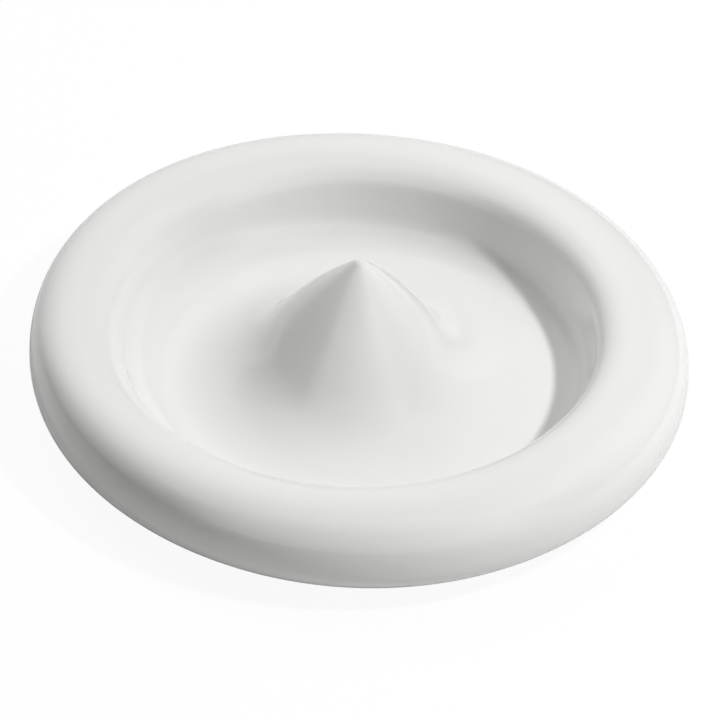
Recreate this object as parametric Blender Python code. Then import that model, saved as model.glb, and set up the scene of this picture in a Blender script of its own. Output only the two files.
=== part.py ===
"""Round porcelain soap dish with a full, tube-like rim and a pointed cone in the middle of its bowl.

Metres, +Z up. The origin is on the dish's axis, in the plane that it stands on.
The dish body is one casting: a hollow rim, a thin floor, and a cone that is open from below.
It is round all over, but its bowl's wall is steep on one side and gentle on the other.
Four silicone pads are let into its foot ring, and a silicone plug closes the rim's vent.
"""
import math

import bmesh
import bpy
from mathutils import Vector

# Overall form, measured from the plane that the dish stands on
DISH_DIAMETER = 0.130
RIM_WIDTH = 0.0188          # diameter of the tube that the rim is
RIM_HEIGHT = 0.0204         # top of the rim
FLOOR_HEIGHT = 0.0038       # upper side of the bowl's floor

# Wall of the bowl: a round crest, a straight slope and a hollow fillet, with a steep and a gentle side
STEEP_DIRECTION = math.radians(16.0)
STEEP_SPREAD = 1.55         # how far the steep side's form reaches round the bowl
STEEP_TOP_OFFSET = -0.0029  # how far the rim's top lies outside the tube's middle
STEEP_CREST = 0.0064
STEEP_SLOPE = math.radians(86.0)
STEEP_FILLET = 0.0064
GENTLE_TOP_OFFSET = 0.0009
GENTLE_CREST = 0.0088
GENTLE_SLOPE = math.radians(75.0)
GENTLE_FILLET = 0.0110

# Cone in the middle
CONE_HEIGHT = 0.0329        # its tip
TIP_RADIUS = 0.0018         # round on the tip
FLANK_RADIUS = 0.099        # large outward curve of the flank
FLANK_TOP_SLOPE = math.radians(39.8)
FLARE_END = 0.0356          # how far the hollow flare at the cone's foot reaches

# Casting
SKIN = 0.0025               # thickness of the floor and of the cone's shell
HOLLOW_DIAMETER = 0.0076    # ring-shaped space inside the rim
HOLLOW_DROP = 0.0018        # how far its middle lies below the rim's
FOOT_RING_INSET = 0.0015    # how far the middle of the foot ring and of the hollow lies inside the rim's
FOOT_RING_WIDTH = 0.0078
FOOT_EDGE_ROUND = 0.0004

# Pads and plug
PAD_COUNT = 4
PAD_DIAMETER = 0.0056
PAD_PROUD = 0.0008          # how far a pad stands out of the foot ring
PAD_POCKET_DEPTH = 0.0010
PAD_EDGE_ROUND = 0.0004
VENT_DIAMETER = 0.0032
VENT_SINK_DIAMETER = 0.0056
VENT_SINK_DEPTH = 0.0012
VENT_ANGLE = math.radians(90.0)
PLUG_FLANGE_THICKNESS = 0.0007
PLUG_BARB_DIAMETER = 0.0040
PLUG_BARB_LENGTH = 0.0014
PLUG_NOSE_DIAMETER = 0.0020

SEAT_GAP = 0.0003           # between pieces that touch, all round

# Fineness of the turned surfaces
TURN_STEPS = 72
HOLLOW_STEPS = 48
SMALL_STEPS = 24

# Sizes that follow from those above
QUARTER = math.pi / 2
RIM_TUBE_RADIUS = RIM_WIDTH / 2
RIM_CENTRE_RADIUS = DISH_DIAMETER / 2 - RIM_TUBE_RADIUS
RIM_CENTRE_HEIGHT = RIM_HEIGHT - RIM_TUBE_RADIUS
BASE_HEIGHT = FLOOR_HEIGHT - SKIN
FOOT_RING_RADIUS = RIM_CENTRE_RADIUS - FOOT_RING_INSET
FOOT_OUTER = FOOT_RING_RADIUS + FOOT_RING_WIDTH / 2
FOOT_INNER = FOOT_RING_RADIUS - FOOT_RING_WIDTH / 2
HOLLOW_RADIUS = HOLLOW_DIAMETER / 2
HOLLOW_HEIGHT = RIM_CENTRE_HEIGHT - HOLLOW_DROP

# The flank's curve touches the tip's round from outside, and the flare touches the flank and the level floor
TIP_CENTRE = (0.0, CONE_HEIGHT - TIP_RADIUS)
FLANK_REACH = FLANK_RADIUS - TIP_RADIUS
FLANK_CENTRE = (-FLANK_REACH * math.sin(FLANK_TOP_SLOPE), TIP_CENTRE[1] - FLANK_REACH * math.cos(FLANK_TOP_SLOPE))
FLARE_RUN = FLARE_END - FLANK_CENTRE[0]
FLARE_DROP = FLOOR_HEIGHT - FLANK_CENTRE[1]
FLARE_RADIUS = (FLARE_RUN ** 2 + FLARE_DROP ** 2 - FLANK_RADIUS ** 2) / (2 * (FLANK_RADIUS - FLARE_DROP))
FLANK_FOOT_ANGLE = math.atan2(FLARE_DROP + FLARE_RADIUS, FLARE_RUN)


def arc(centre, radius, start, end, steps):
    """Points of an arc in the profile's plane, angles from the +X direction."""
    points = []
    for step in range(steps + 1):
        angle = start + (end - start) * step / steps
        points.append((centre[0] + radius * math.cos(angle), centre[1] + radius * math.sin(angle)))
    return points


def joined(*runs):
    """Runs of points end to end, without the points that two runs share."""
    points = []
    for run in runs:
        for point in run:
            if not points or math.dist(point, points[-1]) > 1e-6:
                points.append(point)
    return points


def cone_skin(depth, start=FLARE_END):
    """The cone from its tip out to a radius in its flare, as a line the given depth below the glaze.

    A round tip runs into a long, slightly swelling flank, and the flank into a hollow flare.
    """
    tip_round = max(TIP_RADIUS - depth, 0.0)
    flank_radius = FLANK_RADIUS - depth
    if depth > TIP_RADIUS:
        # the inner curve comes to a point on the axis
        start_angle = math.acos(-FLANK_CENTRE[0] / flank_radius)
    else:
        start_angle = QUARTER - FLANK_TOP_SLOPE
    tip = arc(TIP_CENTRE, tip_round, QUARTER, start_angle, 2) if tip_round else []
    flank = arc(FLANK_CENTRE, flank_radius, start_angle, FLANK_FOOT_ANGLE, 4)
    end_angle = 3 * QUARTER - math.asin((FLARE_END - start) / FLARE_RADIUS)
    flare = arc((FLARE_END, FLOOR_HEIGHT + FLARE_RADIUS), FLARE_RADIUS + depth,
                math.pi + FLANK_FOOT_ANGLE, end_angle, 5)
    return joined(tip, flank, flare)


def upper_section(top_offset, crest_radius, slope, fillet_radius):
    """From the rim's widest line over its top, down the bowl's wall and up the cone to its tip.

    Where the wall's fillet reaches into the cone's flare, the two heights add up.
    """
    top = RIM_CENTRE_RADIUS + top_offset
    stretch = (RIM_TUBE_RADIUS - top_offset) / RIM_TUBE_RADIUS
    outside = [(top + x * stretch, RIM_CENTRE_HEIGHT + z) for x, z in arc((0, 0), RIM_TUBE_RADIUS, 0.0, QUARTER, 7)]
    crest = arc((top, RIM_HEIGHT - crest_radius), crest_radius, QUARTER, QUARTER + slope, 7)

    # the straight part of the wall lies between the crest's end and the fillet's start
    drop = crest[-1][1] - FLOOR_HEIGHT - fillet_radius * (1 - math.cos(slope))
    fillet_end = crest[-1][0] - drop / math.tan(slope) - fillet_radius * math.sin(slope)
    fillet = []
    for radius, height in arc((fillet_end, FLOOR_HEIGHT + fillet_radius), fillet_radius, slope - QUARTER, -QUARTER, 7):
        inside = max(FLARE_END - radius, 0.0)
        fillet.append((radius, height + FLARE_RADIUS - math.sqrt(FLARE_RADIUS ** 2 - inside ** 2)))
    cone = list(reversed(cone_skin(0.0, min(fillet_end, FLARE_END))))
    cone[-1] = (0.0, CONE_HEIGHT)
    return outside + crest[1:] + fillet + cone


STEEP_SECTION = upper_section(STEEP_TOP_OFFSET, STEEP_CREST, STEEP_SLOPE, STEEP_FILLET)
GENTLE_SECTION = upper_section(GENTLE_TOP_OFFSET, GENTLE_CREST, GENTLE_SLOPE, GENTLE_FILLET)


def steep_share(direction):
    """How much of the steep side's form the bowl has in a direction: 1 there, and 0 on the far side."""
    farness = (1 - math.cos(direction - STEEP_DIRECTION)) / 2
    return 1 - farness ** STEEP_SPREAD


def dish_section(direction):
    """Half section of the dish body, from the hollow under the cone, round the rim and up to the tip."""
    under = cone_skin(SKIN)
    under[0] = (0.0, under[0][1])
    base_edge = [(FOOT_INNER - FOOT_EDGE_ROUND, BASE_HEIGHT)]
    foot_inside = arc((FOOT_INNER + FOOT_EDGE_ROUND, PAD_PROUD + FOOT_EDGE_ROUND),
                      FOOT_EDGE_ROUND, math.pi, 3 * QUARTER, 2)
    foot_outside = arc((FOOT_OUTER - FOOT_EDGE_ROUND, PAD_PROUD + FOOT_EDGE_ROUND),
                       FOOT_EDGE_ROUND, 3 * QUARTER, 4 * QUARTER, 2)
    rim_start = -math.acos((FOOT_OUTER - RIM_CENTRE_RADIUS) / RIM_TUBE_RADIUS)
    underside = arc((RIM_CENTRE_RADIUS, RIM_CENTRE_HEIGHT), RIM_TUBE_RADIUS, rim_start, 0.0, 7)
    share = steep_share(direction)
    upper = [(gentle[0] + (steep[0] - gentle[0]) * share, gentle[1] + (steep[1] - gentle[1]) * share)
             for steep, gentle in zip(STEEP_SECTION, GENTLE_SECTION)]
    return joined(under, base_edge, foot_inside, foot_outside, underside) + upper[1:]


def ringed_mesh(name, sections, closed=False):
    """Solid from half sections that stand evenly round Z, the first one in the XZ plane."""
    shape = bmesh.new()
    rows = []
    for number, section in enumerate(sections):
        direction = math.tau * number / len(sections)
        rows.append([shape.verts.new((radius * math.cos(direction), radius * math.sin(direction), height))
                     for radius, height in section])
    for row, following in zip(rows, rows[1:] + rows[:1]):
        links = list(zip(row, row[1:], following[1:], following))
        if closed:
            links.append((row[-1], row[0], following[0], following[-1]))
        for corners in links:
            shape.faces.new(corners)
    bmesh.ops.remove_doubles(shape, verts=shape.verts, dist=1e-6)
    bmesh.ops.connect_verts_nonplanar(shape, angle_limit=math.radians(0.01), faces=shape.faces)
    bmesh.ops.recalc_face_normals(shape, faces=shape.faces)
    mesh = bpy.data.meshes.new(name)
    shape.to_mesh(mesh)
    shape.free()
    mesh.shade_smooth()
    mesh.set_sharp_from_angle(angle=math.radians(35))
    return mesh


def turned_mesh(name, section, steps, closed=False):
    """Solid of revolution about Z from one half section."""
    return ringed_mesh(name, [section] * steps, closed)


def dish_mesh():
    """The casting before its hollow, vent and pockets are cut."""
    directions = [math.tau * number / TURN_STEPS for number in range(TURN_STEPS)]
    return ringed_mesh("dish_body", [dish_section(direction) for direction in directions])


def material(name, colour, roughness, coat=0.0):
    """Principled material of a sub-part."""
    made = bpy.data.materials.new(name)
    made.use_nodes = True
    shader = made.node_tree.nodes["Principled BSDF"]
    shader.inputs["Base Color"].default_value = (*colour, 1.0)
    shader.inputs["Roughness"].default_value = roughness
    shader.inputs["Metallic"].default_value = 0.0
    shader.inputs["Coat Weight"].default_value = coat
    return made


def place(name, mesh, finish=None, location=(0.0, 0.0, 0.0)):
    """Object of a mesh, linked into the scene."""
    piece = bpy.data.objects.new(name, mesh)
    piece.location = location
    bpy.context.scene.collection.objects.link(piece)
    if finish and not mesh.materials:
        mesh.materials.append(finish)
    return piece


def cut(piece, cutter):
    """Takes a cutter's shape out of a piece; the cutter stays as a guide."""
    cutter.hide_render = True
    cutter.display_type = "WIRE"
    modifier = piece.modifiers.new("cut_" + cutter.name, "BOOLEAN")
    modifier.operation = "DIFFERENCE"
    modifier.solver = "EXACT"
    modifier.object = cutter


def foot_point(angle, height=0.0):
    """Point on the foot ring's middle circle."""
    return Vector((FOOT_RING_RADIUS * math.cos(angle), FOOT_RING_RADIUS * math.sin(angle), height))


def vent_mouth(radius):
    """Highest point of the rim hollow's underside within the given radius of the vent's axis."""
    return HOLLOW_HEIGHT - math.sqrt(max(HOLLOW_RADIUS ** 2 - radius ** 2, 0.0))


def rim_hollow():
    """Ring-shaped space inside the rim."""
    circle = arc((FOOT_RING_RADIUS, HOLLOW_HEIGHT), HOLLOW_RADIUS, 0.0, math.tau, 12)[:-1]
    return place("rim_hollow", turned_mesh("rim_hollow", circle, HOLLOW_STEPS, closed=True))


def vent_bore():
    """Stepped hole from the foot ring up into the rim's hollow."""
    hole = VENT_DIAMETER / 2
    sink = VENT_SINK_DIAMETER / 2
    ledge = PAD_PROUD + VENT_SINK_DEPTH
    profile = [(0.0, 0.0), (sink, 0.0), (sink, ledge), (hole, ledge),
               (hole, HOLLOW_HEIGHT), (0.0, HOLLOW_HEIGHT)]
    return place("vent_bore", turned_mesh("vent_bore", profile, SMALL_STEPS), location=foot_point(VENT_ANGLE))


def pad_angles():
    """Directions of the pads, evenly spaced and clear of the vent."""
    first = VENT_ANGLE + math.pi / PAD_COUNT
    return [first + math.tau * index / PAD_COUNT for index in range(PAD_COUNT)]


def pad_pocket(index, angle, mesh):
    """Blind round pocket in the foot ring."""
    return place(f"pad_pocket_{index}", mesh, location=foot_point(angle))


def pocket_mesh():
    radius = PAD_DIAMETER / 2 + SEAT_GAP
    top = PAD_PROUD + PAD_POCKET_DEPTH
    return turned_mesh("pad_pocket", [(0.0, 0.0), (radius, 0.0), (radius, top), (0.0, top)], SMALL_STEPS)


def pad_mesh():
    """Moulded silicone disc with a rounded tread edge."""
    radius = PAD_DIAMETER / 2
    top = PAD_PROUD + PAD_POCKET_DEPTH - SEAT_GAP
    edge = arc((radius - PAD_EDGE_ROUND, PAD_EDGE_ROUND), PAD_EDGE_ROUND, -math.pi / 2, 0.0, 3)
    return turned_mesh("foot_pad", joined([(0.0, 0.0)], edge, [(radius, top), (0.0, top)]), SMALL_STEPS)


def plug_mesh():
    """Push-in plug: a flat flange in the counterbore, a stem, and a barb inside the rim."""
    flange = VENT_SINK_DIAMETER / 2 - SEAT_GAP
    stem = VENT_DIAMETER / 2 - SEAT_GAP
    barb = PLUG_BARB_DIAMETER / 2
    flange_top = PAD_PROUD + VENT_SINK_DEPTH - SEAT_GAP
    flange_base = flange_top - PLUG_FLANGE_THICKNESS
    barb_base = vent_mouth(barb) + SEAT_GAP
    nose = barb_base + PLUG_BARB_LENGTH
    profile = [(0.0, flange_base), (flange, flange_base), (flange, flange_top), (stem, flange_top),
               (stem, barb_base), (barb, barb_base), (PLUG_NOSE_DIAMETER / 2, nose), (0.0, nose)]
    return turned_mesh("vent_plug", profile, SMALL_STEPS)


for leftover in list(bpy.data.objects):
    bpy.data.objects.remove(leftover, do_unlink=True)

glaze = material("white_glaze", (0.80, 0.80, 0.79), 0.12, coat=0.5)
silicone = material("clear_silicone", (0.72, 0.73, 0.73), 0.45)

dish_body = place("dish_body", dish_mesh(), glaze)
cut(dish_body, rim_hollow())
cut(dish_body, vent_bore())

pocket_shape = pocket_mesh()
pad_shape = pad_mesh()
for index, angle in enumerate(pad_angles(), start=1):
    cut(dish_body, pad_pocket(index, angle, pocket_shape))
    place(f"foot_pad_{index}", pad_shape, silicone, foot_point(angle))

place("vent_plug", plug_mesh(), silicone, foot_point(VENT_ANGLE))
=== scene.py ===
import math

import bpy
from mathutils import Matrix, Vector


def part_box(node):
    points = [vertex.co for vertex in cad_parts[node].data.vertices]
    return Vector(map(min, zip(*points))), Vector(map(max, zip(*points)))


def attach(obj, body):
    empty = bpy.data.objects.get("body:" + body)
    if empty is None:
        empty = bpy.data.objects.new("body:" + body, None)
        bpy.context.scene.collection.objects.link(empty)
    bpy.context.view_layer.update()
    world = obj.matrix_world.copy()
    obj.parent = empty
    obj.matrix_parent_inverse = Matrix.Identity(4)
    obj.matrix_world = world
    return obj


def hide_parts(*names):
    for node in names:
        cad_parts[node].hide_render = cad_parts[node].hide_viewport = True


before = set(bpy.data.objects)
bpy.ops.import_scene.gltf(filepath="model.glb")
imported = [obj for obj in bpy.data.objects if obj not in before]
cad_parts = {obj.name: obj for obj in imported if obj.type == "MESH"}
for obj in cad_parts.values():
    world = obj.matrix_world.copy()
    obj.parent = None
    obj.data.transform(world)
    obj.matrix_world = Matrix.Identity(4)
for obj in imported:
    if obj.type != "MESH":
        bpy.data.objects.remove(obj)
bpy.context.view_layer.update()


# The dish body is one slip-cast porcelain piece: a hollow, tube-like rim, a thin floor and a cone.
# It is dipped in white glaze, and the foot ring that it stands on in the kiln is wiped bare.
# Its bowl's wall is steep on one side and gentle on the other, and firing drew the rim out of round.
body_low, body_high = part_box("dish_body")
pad_low, pad_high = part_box("foot_pad_1")
plug_low, plug_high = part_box("vent_plug")
DISH_RADIUS = (body_high[0] - body_low[0]) / 2
CONE_HEIGHT = body_high[2]
FOOT_PLANE = body_low[2]
RIM_HALF_WIDTH = 0.0090
RIM_WAIST = 0.01016         # height of the rim's widest line
RIM_UNDERSIDE = 0.0072      # half height of the oval below the waist
RIM_FULLNESS = 2.43         # 2 is a plain oval; above it the top is flatter and the shoulders are tighter
FLOOR_HEIGHT = 0.0043
STEEP_DIRECTION = math.radians(17.1)
STEEP_SPREAD = 1.35         # how far the steep side's form reaches round the bowl
STEEP_HEIGHT = 0.02024
STEEP_TOP_OFFSET = -0.00237     # how far the rim's top lies outside the oval's middle
STEEP_CREST = 0.00723
STEEP_FULLNESS = 2.84
STEEP_SLOPE = math.radians(83.1)
STEEP_FILLET = 0.00557
GENTLE_HEIGHT = 0.01909
GENTLE_TOP_OFFSET = 0.00131
GENTLE_CREST = 0.01117
GENTLE_FULLNESS = 2.26
GENTLE_SLOPE = math.radians(72.0)
GENTLE_FILLET = 0.0103
TIP_RADIUS = 0.0018
FLANK_RADIUS = 0.1097       # large outward curve of the cone's flank
FLANK_TOP_SLOPE = math.radians(41.7)
FLARE_END = 0.0360          # how far the hollow flare at the cone's foot reaches
CONE_LEAN = -0.00074        # how far the cone lies off the axis, to the left
LEAN_INSIDE = 0.030         # the lean is whole within this radius, and gone past the next
LEAN_OUTSIDE = 0.050
OVAL_SWELL = 0.00012        # how far firing drew the outline out into two, three and five lobes
THREE_LOBES_SWELL = 0.00022
FIVE_LOBES_SWELL = 0.00010
WAVE_HEIGHT = 0.00006       # how uneven the hand-smoothed clay is
WAVE_LENGTH = 0.030
SKIN = 0.0025               # thickness of the floor and of the cone's shell
HOLLOW_RADIUS = 0.0038      # ring-shaped space inside the rim
HOLLOW_HEIGHT = 0.0092
FOOT_RING_WIDTH = 0.0078
FOOT_EDGE_ROUND = 0.0004
BODY_STEPS = 256            # straight steps round the axis, then along each curve of the section
TIP_STEPS = 8
FLANK_STEPS = 24
FLARE_STEPS = 20
FILLET_STEPS = 32
RIM_STEPS = 36
UNDERSIDE_STEPS = 30
FOOT_EDGE_STEPS = 5
HOLLOW_STEPS = 128
HOLLOW_TUBE_STEPS = 32
CUTTER_STEPS = 64
SAME_POINT = 1e-6           # points of a section closer than this are one
ON_AXIS = 1e-5              # points this near to the axis stay where they are
CLOSING_DISTANCE = 2e-6     # the turned mesh is closed at its seam and at its two poles
SHARP_ANGLE = math.radians(40)

QUARTER = math.pi / 2
RIM_CENTRE = (DISH_RADIUS - RIM_HALF_WIDTH, RIM_WAIST)
FOOT_RING_RADIUS = math.hypot((pad_low[0] + pad_high[0]) / 2, (pad_low[1] + pad_high[1]) / 2)
FOOT_INNER = FOOT_RING_RADIUS - FOOT_RING_WIDTH / 2
FOOT_OUTER = FOOT_RING_RADIUS + FOOT_RING_WIDTH / 2
TIP_CENTRE = (0.0, CONE_HEIGHT - TIP_RADIUS)
FLANK_REACH = FLANK_RADIUS - TIP_RADIUS
FLANK_CENTRE = (TIP_CENTRE[0] - FLANK_REACH * math.sin(FLANK_TOP_SLOPE),
                TIP_CENTRE[1] - FLANK_REACH * math.cos(FLANK_TOP_SLOPE))
FLARE_RUN = FLARE_END - FLANK_CENTRE[0]
FLARE_DROP = FLOOR_HEIGHT - FLANK_CENTRE[1]
FLARE_RADIUS = (FLARE_RUN ** 2 + FLARE_DROP ** 2 - FLANK_RADIUS ** 2) / (2 * (FLANK_RADIUS - FLARE_DROP))
FLANK_FOOT_ANGLE = math.atan2(FLARE_DROP + FLARE_RADIUS, FLARE_RUN)


def arc(centre, radius, start, end, steps):
    """Points of an arc in the half section's plane."""
    points = []
    for step in range(steps + 1):
        angle = start + (end - start) * step / steps
        points.append((centre[0] + radius * math.cos(angle), centre[1] + radius * math.sin(angle)))
    return points


def full_oval(centre, width, height, fullness, start, end, steps):
    """Points of an oval from its half axes, squarer than an ellipse where the fullness is over 2."""
    points = []
    for step in range(steps + 1):
        angle = start + (end - start) * step / steps
        across = math.copysign(abs(math.cos(angle)) ** (2 / fullness), math.cos(angle))
        up = math.copysign(abs(math.sin(angle)) ** (2 / fullness), math.sin(angle))
        points.append((centre[0] + width * across, centre[1] + height * up))
    return points


def joined(*runs):
    """Runs of points end to end, without the points that two runs share."""
    points = []
    for run in runs:
        for point in run:
            if not points or math.dist(point, points[-1]) > SAME_POINT:
                points.append(point)
    return points


def cone_line(depth, start=FLARE_END):
    """The cone from its tip out to a radius in its flare, the given depth below the glaze."""
    if depth > TIP_RADIUS:
        first = math.acos(-FLANK_CENTRE[0] / (FLANK_RADIUS - depth))
        tip = []
    else:
        first = QUARTER - FLANK_TOP_SLOPE
        tip = arc(TIP_CENTRE, TIP_RADIUS - depth, QUARTER, first, TIP_STEPS)
    flank = arc(FLANK_CENTRE, FLANK_RADIUS - depth, first, FLANK_FOOT_ANGLE, FLANK_STEPS)
    last = 3 * QUARTER - math.asin((FLARE_END - start) / FLARE_RADIUS)
    flare_centre = (FLARE_END, FLOOR_HEIGHT + FLARE_RADIUS)
    flare = arc(flare_centre, FLARE_RADIUS + depth, math.pi + FLANK_FOOT_ANGLE, last, FLARE_STEPS)
    return joined(tip, flank, flare)


def upper_section(height, top_offset, crest_size, fullness, slope, fillet_radius):
    """From the rim's widest line over its top, down the bowl's wall and up the cone to its tip.

    Outside and crest are quarters of ovals that meet level at the top. The wall is straight between
    the crest and the fillet, and the fillet is lifted by the cone's flare where it reaches it.
    """
    top = RIM_CENTRE[0] + top_offset
    outside = full_oval((top, RIM_WAIST), RIM_HALF_WIDTH - top_offset, height - RIM_WAIST, RIM_FULLNESS,
                        0.0, QUARTER, RIM_STEPS)
    # the crest ends where its oval has come to the wall's slope
    turn = math.atan(math.tan(slope) ** (fullness / (2 * (fullness - 1))))
    crest = full_oval((top, height - crest_size), crest_size, crest_size, fullness,
                      QUARTER, QUARTER + turn, RIM_STEPS)
    drop = crest[-1][1] - FLOOR_HEIGHT - fillet_radius * (1 - math.cos(slope))
    fillet_end = crest[-1][0] - drop / math.tan(slope) - fillet_radius * math.sin(slope)
    fillet_centre = (fillet_end, FLOOR_HEIGHT + fillet_radius)
    fillet = []
    for radius, level in arc(fillet_centre, fillet_radius, slope - QUARTER, -QUARTER, FILLET_STEPS):
        inside = max(FLARE_END - radius, 0.0)
        fillet.append((radius, level + FLARE_RADIUS - math.sqrt(FLARE_RADIUS ** 2 - inside ** 2)))
    cone = list(reversed(cone_line(0.0, min(fillet_end, FLARE_END))))
    cone[-1] = (0.0, CONE_HEIGHT)
    return outside + crest[1:] + fillet + cone


def smooth_share(value):
    """A share from 0 to 1 that starts and ends level."""
    share = min(max(value, 0.0), 1.0)
    return share * share * (3 - 2 * share)


def section_mesh(name, points, steep_points=None, lean=0.0):
    """Half section as a chain of edges in the XZ plane.

    Each point holds its way to the steep side's section, and its share of the middle's lean.
    """
    mesh = bpy.data.meshes.new(name)
    corners = [(x, 0.0, z) for x, z in points]
    mesh.from_pydata(corners, [(i, i + 1) for i in range(len(points) - 1)], [])
    mesh.attributes.new("to_steep_side", "FLOAT_VECTOR", "POINT")
    mesh.attributes.new("mould_shift", "FLOAT", "POINT")
    for number, (point, steep) in enumerate(zip(points, steep_points or points)):
        way = (steep[0] - point[0], 0.0, steep[1] - point[1])
        share = smooth_share((LEAN_OUTSIDE - point[0]) / (LEAN_OUTSIDE - LEAN_INSIDE))
        mesh.attributes["to_steep_side"].data[number].vector = way
        mesh.attributes["mould_shift"].data[number].value = lean * share
    return mesh


def node(tree, kind, inputs=None, **settings):
    """Adds a node with its settings, and puts values or links on its inputs."""
    made = tree.nodes.new(kind)
    for name, value in settings.items():
        setattr(made, name, value)
    for key, value in (inputs or {}).items():
        if isinstance(value, bpy.types.NodeSocket):
            tree.links.new(value, made.inputs[key])
        else:
            made.inputs[key].default_value = value
    return made


def maths(tree, operation, *values):
    """Output of a Math node."""
    return node(tree, "ShaderNodeMath", dict(enumerate(values)), operation=operation).outputs[0]


def shape_tree(name, sizes):
    """New Geometry Nodes tree that takes a mesh, named sizes and a material."""
    tree = bpy.data.node_groups.new(name, "GeometryNodeTree")
    tree.interface.new_socket("Geometry", in_out="INPUT", socket_type="NodeSocketGeometry")
    for label, kind in sizes.items():
        tree.interface.new_socket(label, in_out="INPUT", socket_type=kind)
    tree.interface.new_socket("Material", in_out="INPUT", socket_type="NodeSocketMaterial")
    tree.interface.new_socket("Geometry", in_out="OUTPUT", socket_type="NodeSocketGeometry")
    return tree, tree.nodes.new("NodeGroupInput").outputs


def finish_tree(tree, mesh, finish):
    """Ends a tree in plain, smooth mesh with its material."""
    real = node(tree, "GeometryNodeRealizeInstances", {0: mesh})
    smooth = node(tree, "GeometryNodeSetShadeSmooth", {"Geometry": real.outputs[0], "Shade Smooth": True})
    painted = node(tree, "GeometryNodeSetMaterial", {"Geometry": smooth.outputs[0], "Material": finish})
    tree.links.new(painted.outputs[0], tree.nodes.new("NodeGroupOutput").inputs[0])


def made_piece(name, mesh, steps):
    """Runs trees on a mesh, one after the other, and keeps the result as a plain mesh object."""
    source = bpy.data.objects.new(name + "_section", mesh)
    bpy.context.scene.collection.objects.link(source)
    for tree, values in steps:
        modifier = source.modifiers.new(tree.name, "NODES")
        modifier.node_group = tree
        labels = {item.name: item.identifier for item in tree.interface.items_tree if item.in_out == "INPUT"}
        for label, value in values.items():
            modifier[labels[label]] = value
    evaluated = source.evaluated_get(bpy.context.evaluated_depsgraph_get())
    result = bpy.data.meshes.new_from_object(evaluated)
    result.name = name
    bpy.data.objects.remove(source)
    bpy.data.meshes.remove(mesh)
    result.set_sharp_from_angle(angle=SHARP_ANGLE)
    piece = bpy.data.objects.new(name, result)
    bpy.context.scene.collection.objects.link(piece)
    return piece


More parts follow.
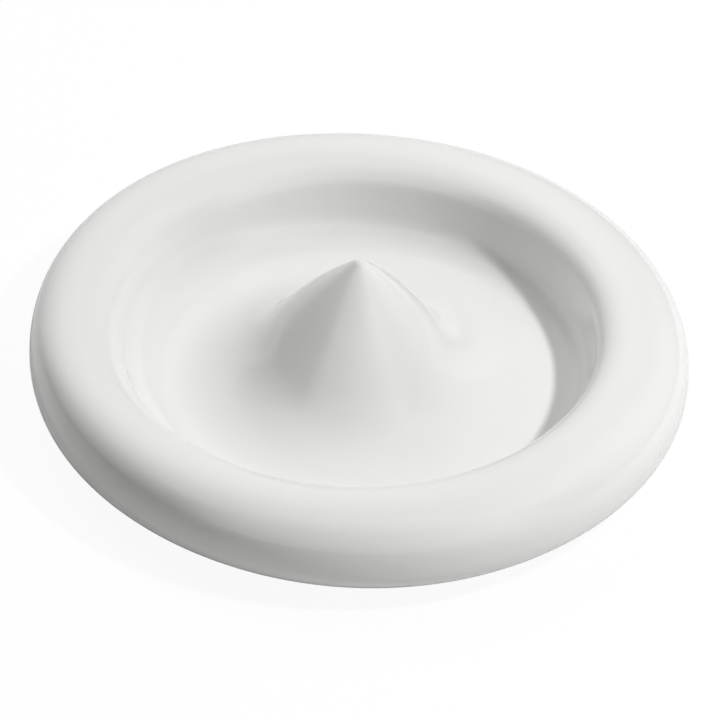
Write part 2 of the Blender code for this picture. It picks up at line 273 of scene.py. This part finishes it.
def turning_tree():
    """Turns a half section about Z, shifted and drawn out of round as a casting is."""
    labels = ["Outer Radius", "Steep Direction", "Steep Spread", "Oval", "Oval Turn", "Three Lobes",
              "Three Lobes Turn", "Five Lobes", "Five Lobes Turn", "Waviness", "Wave Length"]
    sizes = dict.fromkeys(labels, "NodeSocketFloat")
    tree, given = shape_tree("turned_casting", {"Steps": "NodeSocketInt", **sizes})
    section = given["Geometry"]

    # a grid with one column for each step round the axis and one row for each point of the section
    size = node(tree, "GeometryNodeAttributeDomainSize", {"Geometry": section}, component="MESH")
    count = size.outputs["Point Count"]
    columns = maths(tree, "ADD", given["Steps"], 1.0)
    grid = node(tree, "GeometryNodeMeshGrid", {"Vertices X": columns, "Vertices Y": count}).outputs["Mesh"]
    index = node(tree, "GeometryNodeInputIndex").outputs[0]
    column = maths(tree, "FLOOR", maths(tree, "DIVIDE", maths(tree, "ADD", index, 0.5), count))
    row = maths(tree, "SUBTRACT", index, maths(tree, "MULTIPLY", column, count))
    place = node(tree, "GeometryNodeInputPosition").outputs[0]
    point = node(tree, "GeometryNodeSampleIndex", {"Geometry": section, "Value": place, "Index": row},
                 data_type="FLOAT_VECTOR", domain="POINT").outputs[0]
    stored = node(tree, "GeometryNodeInputNamedAttribute", {"Name": "mould_shift"}, data_type="FLOAT")
    shift = node(tree, "GeometryNodeSampleIndex",
                 {"Geometry": section, "Value": stored.outputs[0], "Index": row},
                 data_type="FLOAT", domain="POINT").outputs[0]
    turn = maths(tree, "MULTIPLY", maths(tree, "DIVIDE", column, given["Steps"]), math.tau)

    # the section changes from the gentle side's to the steep side's form
    stored = node(tree, "GeometryNodeInputNamedAttribute", {"Name": "to_steep_side"},
                  data_type="FLOAT_VECTOR")
    way = node(tree, "GeometryNodeSampleIndex",
               {"Geometry": section, "Value": stored.outputs[0], "Index": row},
               data_type="FLOAT_VECTOR", domain="POINT").outputs[0]
    facing = maths(tree, "COSINE", maths(tree, "SUBTRACT", turn, given["Steep Direction"]))
    farness = maths(tree, "MULTIPLY", maths(tree, "SUBTRACT", 1.0, facing), 0.5)
    share = maths(tree, "SUBTRACT", 1.0, maths(tree, "POWER", farness, given["Steep Spread"]))
    way = node(tree, "ShaderNodeVectorMath", {0: way, "Scale": share}, operation="SCALE").outputs[0]
    point = node(tree, "ShaderNodeVectorMath", {0: point, 1: way}, operation="ADD").outputs[0]
    split = node(tree, "ShaderNodeSeparateXYZ", {0: point}).outputs

    # the outline's slight lobes grow with the distance from the axis
    growth = 1.0
    for lobes, label in ((2.0, "Oval"), (3.0, "Three Lobes"), (5.0, "Five Lobes")):
        angle = maths(tree, "MULTIPLY", maths(tree, "SUBTRACT", turn, given[label + " Turn"]), lobes)
        swell = maths(tree, "MULTIPLY", maths(tree, "COSINE", angle), given[label])
        growth = maths(tree, "ADD", growth, maths(tree, "DIVIDE", swell, given["Outer Radius"]))
    radius = maths(tree, "MULTIPLY", split["X"], growth)
    x = maths(tree, "ADD", maths(tree, "MULTIPLY", radius, maths(tree, "COSINE", turn)), shift)
    y = maths(tree, "MULTIPLY", radius, maths(tree, "SINE", turn))
    spot = node(tree, "ShaderNodeCombineXYZ", {0: x, 1: y, 2: split["Z"]}).outputs[0]

    # hand-smoothed clay is never quite even
    fineness = maths(tree, "DIVIDE", 1.0, given["Wave Length"])
    waves = node(tree, "ShaderNodeTexNoise",
                 {"Vector": spot, "Scale": fineness, "Detail": 1.0}).outputs["Color"]
    centred = node(tree, "ShaderNodeVectorMath",
                   {0: waves, 1: (-0.5, -0.5, -0.5)}, operation="ADD").outputs[0]
    pushed = node(tree, "ShaderNodeVectorMath",
                  {0: centred, "Scale": given["Waviness"]}, operation="SCALE").outputs[0]
    away = maths(tree, "GREATER_THAN", split["X"], ON_AXIS)
    pushed = node(tree, "ShaderNodeVectorMath", {0: pushed, "Scale": away}, operation="SCALE").outputs[0]
    final = node(tree, "ShaderNodeVectorMath", {0: spot, 1: pushed}, operation="ADD").outputs[0]
    turned = node(tree, "GeometryNodeSetPosition", {"Geometry": grid, "Position": final}).outputs[0]
    closed = node(tree, "GeometryNodeMergeByDistance",
                  {"Geometry": turned, "Distance": CLOSING_DISTANCE}).outputs[0]
    finish_tree(tree, closed, given["Material"])
    return tree


def ring_of(tree, mesh, count, radius, first):
    """Copies of a mesh round the foot ring, each turned to face outwards."""
    out = node(tree, "ShaderNodeCombineXYZ", {0: radius}).outputs[0]
    along = node(tree, "GeometryNodeTransform", {"Geometry": mesh, "Translation": out}).outputs[0]
    points = node(tree, "GeometryNodePoints", {"Count": count}).outputs[0]
    number = node(tree, "GeometryNodeInputIndex").outputs[0]
    share = maths(tree, "DIVIDE", number, count)
    turn = maths(tree, "ADD", first, maths(tree, "MULTIPLY", share, math.tau))
    turned = node(tree, "ShaderNodeCombineXYZ", {2: turn}).outputs[0]
    return node(tree, "GeometryNodeInstanceOnPoints",
                {"Points": points, "Instance": along, "Rotation": turned}).outputs[0]


def upright(tree, radius, top):
    """A round cutter on the axis, from as far below the stand's plane as its top lies above it."""
    depth = maths(tree, "MULTIPLY", top, 2.0)
    return node(tree, "GeometryNodeMeshCylinder",
                {"Vertices": CUTTER_STEPS, "Radius": radius, "Depth": depth}).outputs["Mesh"]


def cutting_tree():
    """Takes the rim's hollow, the pads' pockets and the stepped vent out of the casting."""
    labels = ["Ring Radius", "First Pad", "Pocket Radius", "Pocket Top", "Vent Direction", "Vent Radius",
              "Vent Sink Radius", "Vent Sink Top", "Hollow Radius", "Hollow Height"]
    sizes = {"Pad Count": "NodeSocketInt", "Hollow Steps": "NodeSocketInt"}
    sizes.update(dict.fromkeys(labels, "NodeSocketFloat"))
    tree, given = shape_tree("foot_ring_cuts", sizes)
    ring = given["Ring Radius"]
    pockets = ring_of(tree, upright(tree, given["Pocket Radius"], given["Pocket Top"]),
                      given["Pad Count"], ring, given["First Pad"])
    sink = ring_of(tree, upright(tree, given["Vent Sink Radius"], given["Vent Sink Top"]),
                   1, ring, given["Vent Direction"])
    bore = ring_of(tree, upright(tree, given["Vent Radius"], given["Hollow Height"]),
                   1, ring, given["Vent Direction"])
    path = node(tree, "GeometryNodeCurvePrimitiveCircle",
                {"Resolution": given["Hollow Steps"], "Radius": ring}).outputs[0]
    tube = node(tree, "GeometryNodeCurvePrimitiveCircle",
                {"Resolution": HOLLOW_TUBE_STEPS, "Radius": given["Hollow Radius"]}).outputs[0]
    hollow = node(tree, "GeometryNodeCurveToMesh", {"Curve": path, "Profile Curve": tube}).outputs[0]
    height = node(tree, "ShaderNodeCombineXYZ", {2: given["Hollow Height"]}).outputs[0]
    hollow = node(tree, "GeometryNodeTransform", {"Geometry": hollow, "Translation": height}).outputs[0]
    cutting = node(tree, "GeometryNodeMeshBoolean", {"Mesh 1": given["Geometry"]},
                   operation="DIFFERENCE", solver="EXACT")
    for cutter in (pockets, sink, bore, hollow):
        real = node(tree, "GeometryNodeRealizeInstances", {0: cutter}).outputs[0]
        tree.links.new(real, cutting.inputs["Mesh 2"])
    finish_tree(tree, cutting.outputs[0], given["Material"])
    return tree


def shading_group(name, inputs, outputs):
    """New shader node group with named values going in and masks or heights coming out."""
    group = bpy.data.node_groups.new(name, "ShaderNodeTree")
    for label in inputs:
        group.interface.new_socket(label, in_out="INPUT", socket_type="NodeSocketFloat")
    for label in outputs:
        group.interface.new_socket(label, in_out="OUTPUT", socket_type="NodeSocketFloat")
    given = group.nodes.new("NodeGroupInput").outputs
    ends = group.nodes.new("NodeGroupOutput").inputs
    place = node(group, "ShaderNodeTexCoord").outputs["Object"]
    return group, given, ends, place


def cloudiness_group():
    """Soft patches of two strengths, the large ones a few times the size of the small ones."""
    group, given, ends, place = shading_group("cloudiness", ["Patch Size"], ["Patches"])
    fineness = maths(group, "DIVIDE", 1.0, given["Patch Size"])
    clouds = node(group, "ShaderNodeTexNoise",
                  {"Vector": place, "Scale": fineness, "Detail": 3.0}).outputs["Fac"]
    spread = node(group, "ShaderNodeMapRange", {"Value": clouds, "From Min": 0.3, "From Max": 0.7},
                  interpolation_type="SMOOTHSTEP").outputs["Result"]
    group.links.new(spread, ends["Patches"])
    return group


def marks_group():
    """Sparse round marks, such as pinholes or dust: one in some of the cells of a given spacing."""
    group, given, ends, place = shading_group("sparse_marks", ["Spacing", "Mark Size", "Share"], ["Marks"])
    fineness = maths(group, "DIVIDE", 1.0, given["Spacing"])
    cells = node(group, "ShaderNodeTexVoronoi", {"Vector": place, "Scale": fineness}).outputs
    away = maths(group, "MULTIPLY", cells["Distance"], given["Spacing"])
    edge = maths(group, "DIVIDE", given["Mark Size"], 2.0)
    fall = {"Value": away, "From Min": 0.0, "From Max": edge, "To Min": 1.0, "To Max": 0.0}
    round_mark = node(group, "ShaderNodeMapRange", fall, interpolation_type="SMOOTHSTEP").outputs["Result"]
    chance = node(group, "ShaderNodeSeparateColor", {"Color": cells["Color"]}).outputs[0]
    chosen = maths(group, "LESS_THAN", chance, given["Share"])
    group.links.new(maths(group, "MULTIPLY", round_mark, chosen), ends["Marks"])
    return group


def ripple_group():
    """Height of a surface that is uneven in a long and a short measure."""
    labels = ["Long Size", "Short Size", "Short Share"]
    group, given, ends, place = shading_group("uneven_surface", labels, ["Height"])
    height = 0.0
    for label in ("Long Size", "Short Size"):
        fineness = maths(group, "DIVIDE", 1.0, given[label])
        waves = node(group, "ShaderNodeTexNoise",
                     {"Vector": place, "Scale": fineness, "Detail": 2.0}).outputs["Fac"]
        if label == "Short Size":
            waves = maths(group, "MULTIPLY", waves, given["Short Share"])
        height = maths(group, "ADD", height, waves)
    group.links.new(height, ends["Height"])
    return group


def placed_group(tree, group, values):
    """A shader node group in a material, with its values set."""
    placed = node(tree, "ShaderNodeGroup", node_tree=group)
    for label, value in values.items():
        placed.inputs[label].default_value = value
    return placed.outputs


def mixed_colour(tree, share, first, second):
    """Colour between two, by a share that changes over the surface."""
    mix = node(tree, "ShaderNodeMix", data_type="RGBA")
    tree.links.new(share, mix.inputs["Factor"])
    for socket, colour in ((mix.inputs[6], first), (mix.inputs[7], second)):
        if isinstance(colour, bpy.types.NodeSocket):
            tree.links.new(colour, socket)
        else:
            socket.default_value = (*colour, 1.0)
    return mix.outputs[2]


def ramp(tree, value, low, high):
    """Smooth share that rises from 0 at a low value to 1 at a high one."""
    return node(tree, "ShaderNodeMapRange", {"Value": value, "From Min": low, "From Max": high},
                interpolation_type="SMOOTHSTEP").outputs["Result"]


cloudiness = cloudiness_group()
sparse_marks = marks_group()
uneven_surface = ripple_group()

GLAZE_WHITE = (0.80, 0.80, 0.785)
GLAZE_CLOUD = (0.793, 0.795, 0.781)     # where the glaze lies a little thicker
GLAZE_EDGE = (0.70, 0.665, 0.60)        # where it ends, thin and warm
BISCUIT = (0.73, 0.70, 0.65)
IRON_SPECK = (0.52, 0.47, 0.40)
SPECK_STRENGTH = 0.25
GLAZE_ROUGHNESS = 0.08
GLAZE_ROUGHNESS_CHANGE = 0.02           # between its thinner and its thicker places
BISCUIT_ROUGHNESS = 0.85
GLAZE_LINE = FOOT_PLANE + 0.00028       # height up to which the foot ring is bare
GLAZE_LINE_WOBBLE = 0.00016
GLAZE_LINE_BLUR = 0.00004
EDGE_BAND = 0.00022                     # height of the thin glaze above the line
RIPPLE_HEIGHT = 0.0000035
GRAIN_HEIGHT = 0.00003
PINHOLE_DEPTH = 0.00002


def glaze_material():
    """Glossy white glaze, faintly clouded and rippled, over a foot ring of bare biscuit."""
    made = bpy.data.materials.new("white_glaze")
    made.use_nodes = True
    tree = made.node_tree
    shader = tree.nodes["Principled BSDF"]
    place = node(tree, "ShaderNodeTexCoord").outputs["Object"]
    height = node(tree, "ShaderNodeSeparateXYZ", {0: place}).outputs["Z"]

    # the glaze ends in a line that wavers along the foot ring
    wobble = placed_group(tree, cloudiness, {"Patch Size": 0.006})["Patches"]
    line = maths(tree, "ADD", height, maths(tree, "MULTIPLY", wobble, GLAZE_LINE_WOBBLE))
    glazed = ramp(tree, line, GLAZE_LINE, GLAZE_LINE + GLAZE_LINE_BLUR)
    full = ramp(tree, line, GLAZE_LINE + GLAZE_LINE_BLUR, GLAZE_LINE + EDGE_BAND)
    bare = maths(tree, "SUBTRACT", 1.0, glazed)

    clouds = placed_group(tree, cloudiness, {"Patch Size": 0.024})["Patches"]
    specks = placed_group(tree, sparse_marks,
                          {"Spacing": 0.011, "Mark Size": 0.00042, "Share": 0.22})["Marks"]
    pinholes = placed_group(tree, sparse_marks,
                            {"Spacing": 0.007, "Mark Size": 0.00022, "Share": 0.3})["Marks"]
    colour = mixed_colour(tree, clouds, GLAZE_WHITE, GLAZE_CLOUD)
    colour = mixed_colour(tree, maths(tree, "MULTIPLY", specks, SPECK_STRENGTH), colour, IRON_SPECK)
    colour = mixed_colour(tree, full, GLAZE_EDGE, colour)
    colour = mixed_colour(tree, glazed, BISCUIT, colour)
    tree.links.new(colour, shader.inputs["Base Color"])

    shine = maths(tree, "MULTIPLY_ADD", clouds, GLAZE_ROUGHNESS_CHANGE,
                  GLAZE_ROUGHNESS - GLAZE_ROUGHNESS_CHANGE / 2)
    rough = maths(tree, "MULTIPLY_ADD", bare, BISCUIT_ROUGHNESS - GLAZE_ROUGHNESS, shine)
    tree.links.new(rough, shader.inputs["Roughness"])

    ripple = placed_group(tree, uneven_surface,
                          {"Long Size": 0.012, "Short Size": 0.003, "Short Share": 0.35})["Height"]
    grain = placed_group(tree, uneven_surface,
                         {"Long Size": 0.0006, "Short Size": 0.0002, "Short Share": 0.6})["Height"]
    rippled = node(tree, "ShaderNodeBump",
                   {"Distance": RIPPLE_HEIGHT, "Height": maths(tree, "MULTIPLY", ripple, glazed)})
    pitted = node(tree, "ShaderNodeBump",
                  {"Distance": PINHOLE_DEPTH, "Height": maths(tree, "MULTIPLY", pinholes, glazed),
                   "Normal": rippled.outputs[0]}, invert=True)
    grained = node(tree, "ShaderNodeBump",
                   {"Distance": GRAIN_HEIGHT, "Height": maths(tree, "MULTIPLY", grain, bare),
                    "Normal": pitted.outputs[0]})
    tree.links.new(grained.outputs[0], shader.inputs["Normal"])
    return made


# below, the section runs under the cone and the floor, round the foot ring and out to the rim's waist
under = cone_line(SKIN)
under[0] = (0.0, under[0][1])
inner_edge = (FOOT_INNER + FOOT_EDGE_ROUND, FOOT_PLANE + FOOT_EDGE_ROUND)
outer_edge = (FOOT_OUTER - FOOT_EDGE_ROUND, FOOT_PLANE + FOOT_EDGE_ROUND)
foot = joined(
    [(FOOT_INNER - FOOT_EDGE_ROUND, FLOOR_HEIGHT - SKIN)],
    arc(inner_edge, FOOT_EDGE_ROUND, math.pi, 3 * QUARTER, FOOT_EDGE_STEPS),
    arc(outer_edge, FOOT_EDGE_ROUND, 3 * QUARTER, 4 * QUARTER, FOOT_EDGE_STEPS))
# the rim's oval starts where it meets the foot ring's outer side
rim_start = -math.acos(((FOOT_OUTER - RIM_CENTRE[0]) / RIM_HALF_WIDTH) ** (RIM_FULLNESS / 2))
underside = full_oval(RIM_CENTRE, RIM_HALF_WIDTH, RIM_UNDERSIDE, RIM_FULLNESS,
                      rim_start, 0.0, UNDERSIDE_STEPS)
lower = joined(under, foot, underside)
gentle_section = lower + upper_section(
    GENTLE_HEIGHT, GENTLE_TOP_OFFSET, GENTLE_CREST, GENTLE_FULLNESS, GENTLE_SLOPE, GENTLE_FILLET)[1:]
steep_section = lower + upper_section(
    STEEP_HEIGHT, STEEP_TOP_OFFSET, STEEP_CREST, STEEP_FULLNESS, STEEP_SLOPE, STEEP_FILLET)[1:]

# the pads and the plug give the places and sizes of their pockets and of the vent
SEAT_GAP = 0.0003
VENT_RADIUS = 0.0016
PAD_COUNT = sum(name.startswith("foot_pad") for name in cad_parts)
PAD_RADIUS = (pad_high[0] - pad_low[0]) / 2
PAD_TOP = pad_high[2]
FIRST_PAD = math.atan2(pad_low[1] + pad_high[1], pad_low[0] + pad_high[0])
FLANGE_RADIUS = (plug_high[0] - plug_low[0]) / 2
VENT_DIRECTION = math.atan2(plug_low[1] + plug_high[1], plug_low[0] + plug_high[0])
VENT_SINK_DEPTH = 0.0012

glaze = glaze_material()
turned_casting = turning_tree()
foot_ring_cuts = cutting_tree()
body_values = {"Steps": BODY_STEPS, "Outer Radius": DISH_RADIUS,
               "Steep Direction": STEEP_DIRECTION, "Steep Spread": STEEP_SPREAD,
               "Oval": OVAL_SWELL, "Oval Turn": math.radians(-24.9),
               "Three Lobes": THREE_LOBES_SWELL, "Three Lobes Turn": math.radians(18.2),
               "Five Lobes": FIVE_LOBES_SWELL, "Five Lobes Turn": math.radians(-11.1),
               "Waviness": WAVE_HEIGHT, "Wave Length": WAVE_LENGTH, "Material": glaze}
cut_values = {"Pad Count": PAD_COUNT, "Hollow Steps": HOLLOW_STEPS, "Ring Radius": FOOT_RING_RADIUS,
              "First Pad": FIRST_PAD, "Pocket Radius": PAD_RADIUS + SEAT_GAP,
              "Pocket Top": PAD_TOP + SEAT_GAP,
              "Vent Direction": VENT_DIRECTION, "Vent Radius": VENT_RADIUS,
              "Vent Sink Radius": FLANGE_RADIUS + SEAT_GAP, "Vent Sink Top": FOOT_PLANE + VENT_SINK_DEPTH,
              "Hollow Radius": HOLLOW_RADIUS, "Hollow Height": HOLLOW_HEIGHT, "Material": glaze}
dish_section = section_mesh("dish_section", gentle_section, steep_section, CONE_LEAN)
dish_casting = made_piece("dish_casting", dish_section,
                          [(turned_casting, body_values), (foot_ring_cuts, cut_values)])
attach(dish_casting, "root")
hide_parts("dish_body")


# The foot pads are small moulded discs of clear silicone with a rounded tread edge.
# Each one is stuck into a blind pocket of the bare foot ring and stands a little proud of it.
PAD_TREAD_ROUND = 0.0004
PAD_CROWN_ROUND = 0.00012
PAD_STEPS = 64
PAD_TREAD_STEPS = 10
PAD_CROWN_STEPS = 5


def copies_tree():
    """Copies of a mesh, evenly spaced round the foot ring."""
    sizes = {"Count": "NodeSocketInt", "Ring Radius": "NodeSocketFloat", "First": "NodeSocketFloat"}
    tree, given = shape_tree("ring_of_copies", sizes)
    copies = ring_of(tree, given["Geometry"], given["Count"], given["Ring Radius"], given["First"])
    finish_tree(tree, copies, given["Material"])
    return tree


SILICONE = (0.72, 0.73, 0.73)
SILICONE_HAZE = (0.66, 0.67, 0.67)
SILICONE_ROUGHNESS = 0.40
HAZE_ROUGHNESS = 0.12                   # how much rougher the cloudy places are
SKIN_GRAIN_HEIGHT = 0.000008
DUST = (0.45, 0.44, 0.42)
DUST_STRENGTH = 0.5


def silicone_material():
    """Matt, slightly cloudy silicone with a little dust in its skin."""
    made = bpy.data.materials.new("clear_silicone")
    made.use_nodes = True
    tree = made.node_tree
    shader = tree.nodes["Principled BSDF"]
    clouds = placed_group(tree, cloudiness, {"Patch Size": 0.0018})["Patches"]
    dust = placed_group(tree, sparse_marks,
                        {"Spacing": 0.0009, "Mark Size": 0.00012, "Share": 0.35})["Marks"]
    colour = mixed_colour(tree, clouds, SILICONE, SILICONE_HAZE)
    colour = mixed_colour(tree, maths(tree, "MULTIPLY", dust, DUST_STRENGTH), colour, DUST)
    tree.links.new(colour, shader.inputs["Base Color"])
    rough = maths(tree, "MULTIPLY_ADD", clouds, HAZE_ROUGHNESS, SILICONE_ROUGHNESS)
    tree.links.new(rough, shader.inputs["Roughness"])
    skin = placed_group(tree, uneven_surface,
                        {"Long Size": 0.0007, "Short Size": 0.00015, "Short Share": 0.5})["Height"]
    bump = node(tree, "ShaderNodeBump", {"Distance": SKIN_GRAIN_HEIGHT, "Height": skin})
    tree.links.new(bump.outputs[0], shader.inputs["Normal"])
    return made


silicone = silicone_material()
ring_of_copies = copies_tree()
crown_edge = (PAD_RADIUS - PAD_CROWN_ROUND, PAD_TOP - PAD_CROWN_ROUND)
pad_section = joined(
    [(0.0, 0.0)],
    arc((PAD_RADIUS - PAD_TREAD_ROUND, PAD_TREAD_ROUND), PAD_TREAD_ROUND, -QUARTER, 0.0, PAD_TREAD_STEPS),
    arc(crown_edge, PAD_CROWN_ROUND, 0.0, QUARTER, PAD_CROWN_STEPS),
    [(0.0, PAD_TOP)])
pad_values = {"Steps": PAD_STEPS, "Outer Radius": PAD_RADIUS, "Steep Spread": 1.0,
              "Wave Length": PAD_RADIUS, "Material": silicone}
pad_places = {"Count": PAD_COUNT, "Ring Radius": FOOT_RING_RADIUS, "First": FIRST_PAD, "Material": silicone}
foot_pads = made_piece("foot_pads", section_mesh("pad_section", pad_section),
                       [(turned_casting, pad_values), (ring_of_copies, pad_places)])
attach(foot_pads, "root")
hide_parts(*[f"foot_pad_{number}" for number in range(1, PAD_COUNT + 1)])


# The vent plug is a moulded silicone push-in plug that closes the hole through which the rim was drained.
# Its flange lies in a counterbore of the foot ring, and its barb holds on the inside of the rim's hollow.
FLANGE_THICKNESS = 0.0007
FLANGE_EDGE_ROUND = 0.00018
BARB_RADIUS = 0.0020
BARB_LENGTH = 0.0014
BARB_EDGE_ROUND = 0.00012
BARB_TURN = QUARTER / 3     # the barb's edge turns up to here, and then tapers to the nose
NOSE_RADIUS = 0.0010
PLUG_STEPS = 64
PLUG_EDGE_STEPS = 6

stem_radius = VENT_RADIUS - SEAT_GAP
flange_base = plug_low[2]
flange_top = flange_base + FLANGE_THICKNESS
flange_edge = FLANGE_RADIUS - FLANGE_EDGE_ROUND
barb_base = plug_high[2] - BARB_LENGTH
barb_edge = BARB_RADIUS - BARB_EDGE_ROUND
plug_section = joined(
    [(0.0, flange_base)],
    arc((flange_edge, flange_base + FLANGE_EDGE_ROUND), FLANGE_EDGE_ROUND, -QUARTER, 0.0, PLUG_EDGE_STEPS),
    arc((flange_edge, flange_top - FLANGE_EDGE_ROUND), FLANGE_EDGE_ROUND, 0.0, QUARTER, PLUG_EDGE_STEPS),
    [(stem_radius, flange_top), (stem_radius, barb_base)],
    arc((barb_edge, barb_base + BARB_EDGE_ROUND), BARB_EDGE_ROUND, -QUARTER, BARB_TURN, PLUG_EDGE_STEPS),
    [(NOSE_RADIUS, plug_high[2]), (0.0, plug_high[2])])
plug_values = {"Steps": PLUG_STEPS, "Outer Radius": FLANGE_RADIUS, "Steep Spread": 1.0,
               "Wave Length": FLANGE_RADIUS, "Material": silicone}
plug_place = {"Count": 1, "Ring Radius": FOOT_RING_RADIUS, "First": VENT_DIRECTION, "Material": silicone}
plug = made_piece("silicone_plug", section_mesh("plug_section", plug_section),
                  [(turned_casting, plug_values), (ring_of_copies, plug_place)])
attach(plug, "root")
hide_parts("vent_plug")


# The studio is a pale table top that runs out to white, with one main lamp and large soft fills.
# The room round it shows only in the glaze, and the camera stands where the photograph was taken from.
TABLE_REACH = 3.0           # from the dish to the table top's sides
PAPER = (0.8, 0.8, 0.8)
PAPER_ROUGHNESS = 0.9
PAPER_GLOW = 0.93           # the camera sees the table top this white, plus its share of light and shadow
PAPER_SHADE = 0.07

floor_mesh = bpy.data.meshes.new("table_top")
table_corners = [(TABLE_REACH * x, TABLE_REACH * y, 0) for x, y in ((-1, -1), (1, -1), (1, 1), (-1, 1))]
floor_mesh.from_pydata(table_corners, [], [(0, 1, 2, 3)])
table_top = bpy.data.objects.new("table_top", floor_mesh)
bpy.context.scene.collection.objects.link(table_top)
paper = bpy.data.materials.new("white_paper")
paper.use_nodes = True
tree = paper.node_tree
matt = tree.nodes["Principled BSDF"]
matt.inputs["Base Color"].default_value = (*PAPER, 1.0)
matt.inputs["Roughness"].default_value = PAPER_ROUGHNESS
seen = node(tree, "ShaderNodeLightPath").outputs["Is Camera Ray"]
white = node(tree, "ShaderNodeEmission", {"Color": (1, 1, 1, 1), "Strength": PAPER_GLOW}).outputs[0]
shade = node(tree, "ShaderNodeBsdfDiffuse", {"Color": (PAPER_SHADE, PAPER_SHADE, PAPER_SHADE, 1)}).outputs[0]
backdrop = node(tree, "ShaderNodeAddShader", {0: white, 1: shade}).outputs[0]
both = node(tree, "ShaderNodeMixShader", {0: seen, 1: matt.outputs[0], 2: backdrop}).outputs[0]
tree.links.new(both, tree.nodes["Material Output"].inputs["Surface"])
table_top.data.materials.append(paper)

LAMP_DISTANCE = 0.7         # from the point that the lamps are aimed at
AIM_HEIGHT = 0.01           # of that point above the table
LAMP_UNIT = 4.0             # watts of a lamp of strength 1
MAIN_SIZE = 0.06
FILL_SIZE = 0.42
# name, azimuth and elevation in degrees, diameter in metres, strength
LAMPS = [
    ("main", -14.6, 54.5, MAIN_SIZE, 0.714),
    ("right_level", 0, 10, FILL_SIZE, 0.078),
    ("left_low", 135, 10, FILL_SIZE, 0.260),
    ("front_low", 270, 10, FILL_SIZE, 0.036),
    ("right_low", 315, 10, FILL_SIZE, 0.137),
    ("right_middle", 0, 30, FILL_SIZE, 0.018),
    ("right_back_middle", 45, 30, FILL_SIZE, 0.074),
    ("left_middle", 135, 30, FILL_SIZE, 0.046),
    ("right_high", 0, 55, FILL_SIZE, 0.156),
    ("back_high", 90, 55, FILL_SIZE, 0.130),
    ("left_high", 135, 55, FILL_SIZE, 0.291),
    ("top", 0, 90, FILL_SIZE, 0.075),
]
for name, azimuth, elevation, diameter, strength in LAMPS:
    lamp = bpy.data.lights.new(name, "AREA")
    lamp.shape = "DISK"
    lamp.size = diameter
    lamp.energy = LAMP_UNIT * strength
    holder = bpy.data.objects.new(name, lamp)
    flat = math.radians(azimuth)
    up = math.radians(elevation)
    direction = Vector((math.cos(up) * math.cos(flat), math.cos(up) * math.sin(flat), math.sin(up)))
    holder.location = direction * LAMP_DISTANCE + Vector((0, 0, AIM_HEIGHT))
    holder.rotation_euler = (-direction).to_track_quat("-Z", "Y").to_euler()
    holder.visible_glossy = False       # the glaze mirrors the room below instead
    bpy.context.scene.collection.objects.link(holder)

# the glaze mirrors white screens in front of the table, behind it and overhead, and dark sides
FRONT_SCREEN = 1.60
BACK_SCREEN = 0.77
HIGH_SCREEN = 0.70          # the front screen's upper part
HIGH_ROOM = 0.25
CEILING = 0.91

world = bpy.data.worlds.new("surround")
world.use_nodes = True
tree = world.node_tree
way = node(tree, "ShaderNodeSeparateXYZ", {0: node(tree, "ShaderNodeTexCoord").outputs["Generated"]}).outputs
height_square = maths(tree, "MULTIPLY", way["Z"], way["Z"])
level = maths(tree, "SQRT", maths(tree, "SUBTRACT", 1.0001, height_square))     # never nought overhead


def towards(azimuth, narrow, wide):
    """Share of the room round an azimuth, whole within one angle and gone past another, in degrees."""
    across = maths(tree, "MULTIPLY", way["X"], math.cos(math.radians(azimuth)))
    along = maths(tree, "MULTIPLY", way["Y"], math.sin(math.radians(azimuth)))
    cosine = maths(tree, "DIVIDE", maths(tree, "ADD", across, along), level)
    return ramp(tree, cosine, math.cos(math.radians(wide)), math.cos(math.radians(narrow)))


def height_mix(low, high, bottom, top):
    """Changes from one brightness to another between two heights above the horizon, in degrees."""
    share = ramp(tree, way["Z"], math.sin(math.radians(bottom)), math.sin(math.radians(top)))
    return maths(tree, "ADD", low, maths(tree, "MULTIPLY", maths(tree, "SUBTRACT", high, low), share))


front = maths(tree, "MULTIPLY", towards(278, 42, 70), FRONT_SCREEN)
back = maths(tree, "MULTIPLY", towards(112, 20, 40), BACK_SCREEN)
upper = maths(tree, "MULTIPLY_ADD", towards(270, 78, 102), HIGH_SCREEN, HIGH_ROOM)
room = height_mix(maths(tree, "ADD", front, back), upper, 40, 50)
room = height_mix(room, CEILING, 70, 80)
path = node(tree, "ShaderNodeLightPath").outputs
room = maths(tree, "MULTIPLY", path["Is Glossy Ray"], room)
brightness = maths(tree, "MAXIMUM", path["Is Camera Ray"], room)
tree.links.new(brightness, tree.nodes["Background"].inputs["Strength"])
tree.nodes["Background"].inputs["Color"].default_value = (1, 1, 1, 1)
bpy.context.scene.world = world

camera = bpy.data.cameras.new("camera")
camera.lens = 212.45
camera.sensor_width = 36.0
camera.clip_start = 0.01
viewer = bpy.data.objects.new("camera", camera)
viewer.location = (0.0, -0.647971, 0.543964)
viewer.rotation_euler = (math.radians(50.3527), math.radians(-2.6281), math.radians(2.1442))
bpy.context.scene.collection.objects.link(viewer)
bpy.context.scene.camera = viewer
bpy.context.scene.view_settings.view_transform = "Standard"
